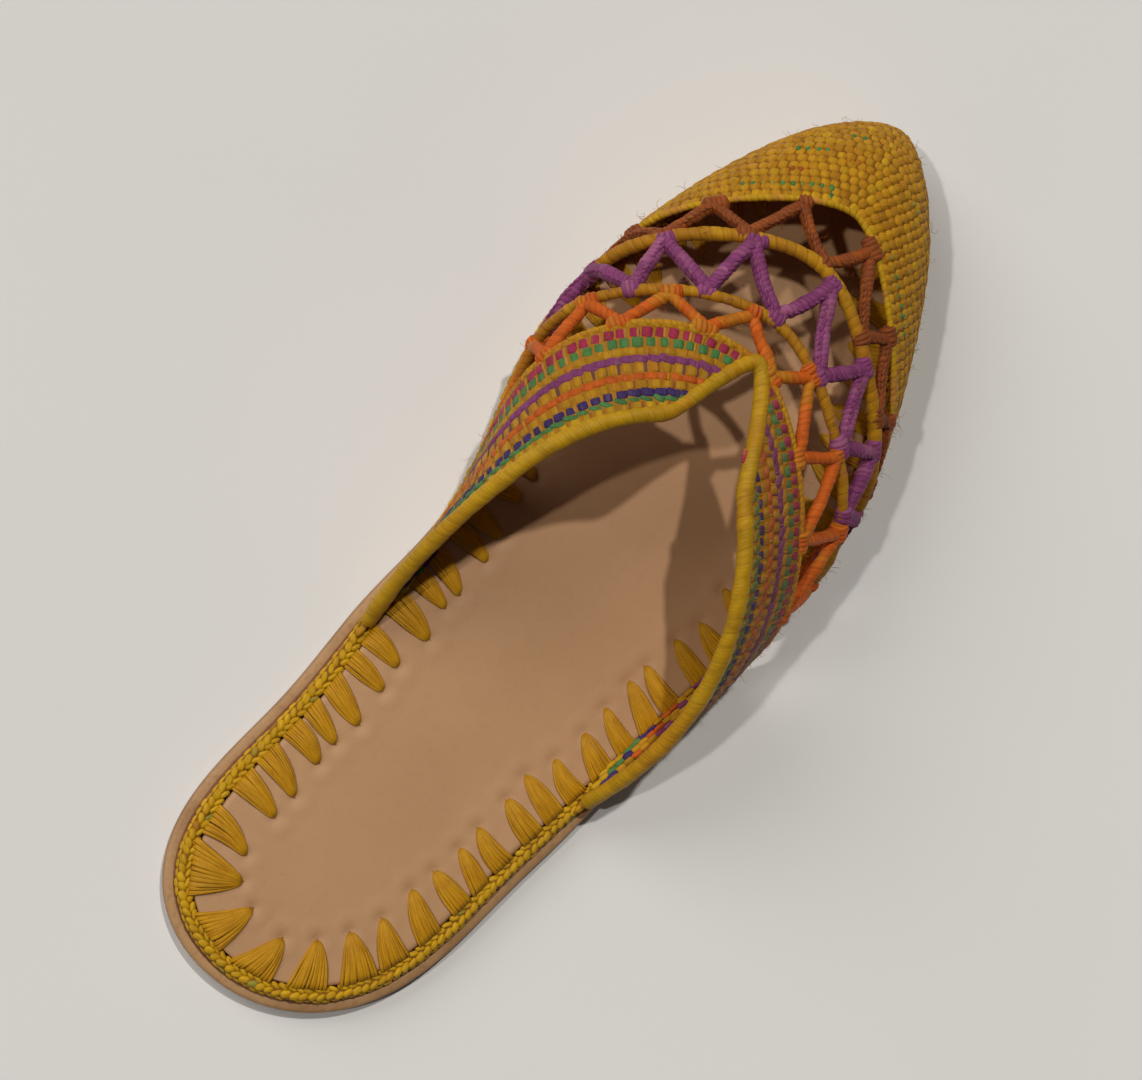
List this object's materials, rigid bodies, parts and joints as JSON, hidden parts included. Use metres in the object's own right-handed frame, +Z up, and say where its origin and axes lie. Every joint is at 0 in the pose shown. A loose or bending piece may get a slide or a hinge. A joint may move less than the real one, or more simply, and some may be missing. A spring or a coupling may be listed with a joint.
{
  "type": "flat crocheted raffia mule",
  "caption": "Flat backless slip-on mule for the right foot: crocheted raffia upper with toe cap, open zigzag lattice, striped band and notched collar on a leather sole.",
  "frame": {"origin": "on the floor plane under the outsole, below the middle of the shoe's box", "axes": "+Y from the heel to the toe, +X to the wearer's right, +Z up"},
  "size_m": [0.0924, 0.2648, 0.055],
  "materials": {
    "outsole_leather": "smooth tan sole leather with a burnished edge",
    "insole_leather": "natural undyed leather, matte to satin",
    "braid_raffia": "crocheted raffia chain, satin straw",
    "upper_raffia": "crocheted dyed raffia, satin straw",
    "collar_raffia": "raffia wrapped round a cord, satin straw"
  },
  "bodies": {
    "root": {"outsole": "outsole_leather", "insole": "insole_leather", "edge_braid": "braid_raffia", "upper": "upper_raffia", "collar_roll": "collar_raffia"}
  },
  "joints": []
}
